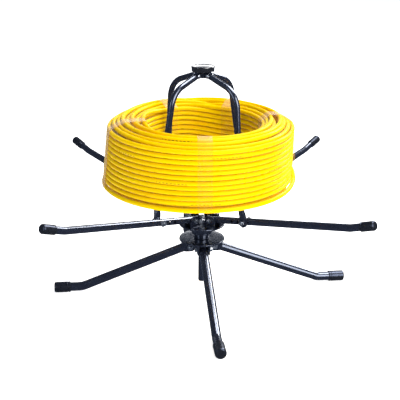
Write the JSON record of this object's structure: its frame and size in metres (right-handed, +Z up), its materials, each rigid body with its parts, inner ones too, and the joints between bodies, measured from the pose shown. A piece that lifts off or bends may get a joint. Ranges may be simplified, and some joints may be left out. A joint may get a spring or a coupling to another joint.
{
  "type": "cable coil pay-off stand",
  "caption": "Folding rotary pay-off stand: legged base, spinning arms and a tapered post cage that carries a coil of yellow cable.",
  "frame": {"origin": "on the floor, under the axis that the turntable spins on", "axes": "+Z up along the turntable's axis, -Y along the first leg, +X along the second leg"},
  "size_m": [0.5472, 0.5472, 0.4145],
  "materials": {
    "black_powder_coat": "satin",
    "black_plastic": "matte",
    "gloss_black_plastic": "gloss",
    "zinc_plate": "satin",
    "bearing_steel": "satin",
    "yellow_pvc": "gloss"
  },
  "bodies": {
    "base": {"lower_hub": "black_powder_coat", "center_column": "black_powder_coat", "bearing_lower_race": "black_powder_coat", "ball_cage": "bearing_steel", "spindle": "bearing_steel", "spindle_nut": "zinc_plate", "leg_bolt_1": "zinc_plate", "leg_bolt_2": "zinc_plate", "leg_bolt_3": "zinc_plate", "leg_bolt_4": "zinc_plate", "leg_nut_1": "zinc_plate", "leg_nut_2": "zinc_plate", "leg_nut_3": "zinc_plate", "leg_nut_4": "zinc_plate"},
    "leg_1": {"leg_tube_1": "black_powder_coat", "foot_cap_1": "black_plastic"},
    "leg_2": {"leg_tube_2": "black_powder_coat", "foot_cap_2": "black_plastic"},
    "leg_3": {"leg_tube_3": "black_powder_coat", "foot_cap_3": "black_plastic"},
    "leg_4": {"leg_tube_4": "black_powder_coat", "foot_cap_4": "black_plastic"},
    "turntable": {"upper_hub": "black_powder_coat", "bearing_upper_cup": "black_powder_coat", "arm_bolt_1": "zinc_plate", "arm_bolt_2": "zinc_plate", "arm_bolt_3": "zinc_plate", "arm_bolt_4": "zinc_plate", "arm_nut_1": "zinc_plate", "arm_nut_2": "zinc_plate", "arm_nut_3": "zinc_plate", "arm_nut_4": "zinc_plate"},
    "arm_1": {"arm_tube_1": "black_powder_coat", "arm_cap_1": "black_plastic"},
    "arm_2": {"arm_tube_2": "black_powder_coat", "arm_cap_2": "black_plastic"},
    "arm_3": {"arm_tube_3": "black_powder_coat", "arm_cap_3": "black_plastic"},
    "arm_4": {"arm_tube_4": "black_powder_coat", "arm_cap_4": "black_plastic"},
    "cage_top": {"top_hub": "black_powder_coat", "top_cap": "gloss_black_plastic", "top_rivet_1": "zinc_plate", "top_rivet_2": "zinc_plate", "top_rivet_3": "zinc_plate", "top_rivet_4": "zinc_plate"},
    "cage_post_1": {"post_1": "black_powder_coat", "post_bolt_1": "zinc_plate", "post_nut_1": "zinc_plate"},
    "cage_post_2": {"post_2": "black_powder_coat", "post_bolt_2": "zinc_plate", "post_nut_2": "zinc_plate"},
    "cage_post_3": {"post_3": "black_powder_coat", "post_bolt_3": "zinc_plate", "post_nut_3": "zinc_plate"},
    "cage_post_4": {"post_4": "black_powder_coat", "post_bolt_4": "zinc_plate", "post_nut_4": "zinc_plate"},
    "coil": {"coil_inner_turns": "yellow_pvc", "coil_outer_turns": "yellow_pvc"}
  },
  "joints": [
    {"name": "leg_fold_1", "type": "hinge", "parent": "base", "child": "leg_1", "pos_m": [0, -0.0225, 0.0845], "axis": [1, 0, 0], "range_deg": [0, 66]},
    {"name": "leg_fold_2", "type": "hinge", "parent": "base", "child": "leg_2", "pos_m": [0.0225, 0, 0.0845], "axis": [0, 1, 0], "range_deg": [0, 66]},
    {"name": "leg_fold_3", "type": "hinge", "parent": "base", "child": "leg_3", "pos_m": [0, 0.0225, 0.0845], "axis": [-1, 0, 0], "range_deg": [0, 66]},
    {"name": "leg_fold_4", "type": "hinge", "parent": "base", "child": "leg_4", "pos_m": [-0.0225, 0, 0.0845], "axis": [0, -1, 0], "range_deg": [0, 66]},
    {"name": "turntable_spin", "type": "hinge", "parent": "base", "child": "turntable", "pos_m": [0, 0, 0.1258], "axis": [0, 0, 1], "continuous": true},
    {"name": "coil_lift", "type": "slide", "parent": "turntable", "child": "coil", "axis": [0, 0, 1], "range_m": [0, 0.3]},
    {"name": "cage_rise", "type": "slide", "parent": "turntable", "child": "cage_top", "axis": [0, 0, 1], "range_m": [0, 0.0631]},
    {"name": "arm_fold_1", "type": "hinge", "parent": "turntable", "child": "arm_1", "pos_m": [0.01771, -0.02038, 0.1398], "axis": [-0.7547, -0.6561, 0], "range_deg": [0, 45]},
    {"name": "arm_fold_2", "type": "hinge", "parent": "turntable", "child": "arm_2", "pos_m": [0.02038, 0.01771, 0.1398], "axis": [0.6561, -0.7547, 0], "range_deg": [0, 45]},
    {"name": "arm_fold_3", "type": "hinge", "parent": "turntable", "child": "arm_3", "pos_m": [-0.01771, 0.02038, 0.1398], "axis": [0.7547, 0.6561, 0], "range_deg": [0, 45]},
    {"name": "arm_fold_4", "type": "hinge", "parent": "turntable", "child": "arm_4", "pos_m": [-0.02038, -0.01771, 0.1398], "axis": [-0.6561, 0.7547, 0], "range_deg": [0, 45]},
    {"name": "post_swing_1", "type": "hinge", "parent": "cage_top", "child": "cage_post_1", "pos_m": [0.00984, -0.01132, 0.39849], "axis": [0.7547, 0.6561, 0], "range_deg": [0, 7.66]},
    {"name": "post_swing_2", "type": "hinge", "parent": "cage_top", "child": "cage_post_2", "pos_m": [0.01132, 0.00984, 0.39849], "axis": [-0.6561, 0.7547, 0], "range_deg": [0, 7.66]},
    {"name": "post_swing_3", "type": "hinge", "parent": "cage_top", "child": "cage_post_3", "pos_m": [-0.00984, 0.01132, 0.39849], "axis": [-0.7547, -0.6561, 0], "range_deg": [0, 7.66]},
    {"name": "post_swing_4", "type": "hinge", "parent": "cage_top", "child": "cage_post_4", "pos_m": [-0.01132, -0.00984, 0.39849], "axis": [0.6561, -0.7547, 0], "range_deg": [0, 7.66]}
  ],
  "couplings": [
    {"joint": "cage_rise", "follows": "coil_lift", "ratio": 0.2102},
    {"joint": "arm_fold_1", "follows": "coil_lift", "rad_per_m": 2.6179},
    {"joint": "arm_fold_2", "follows": "coil_lift", "rad_per_m": 2.6179},
    {"joint": "arm_fold_3", "follows": "coil_lift", "rad_per_m": 2.6179},
    {"joint": "arm_fold_4", "follows": "coil_lift", "rad_per_m": 2.6179},
    {"joint": "post_swing_1", "follows": "coil_lift", "rad_per_m": 0.4456},
    {"joint": "post_swing_2", "follows": "coil_lift", "rad_per_m": 0.4456},
    {"joint": "post_swing_3", "follows": "coil_lift", "rad_per_m": 0.4456},
    {"joint": "post_swing_4", "follows": "coil_lift", "rad_per_m": 0.4456}
  ]
}
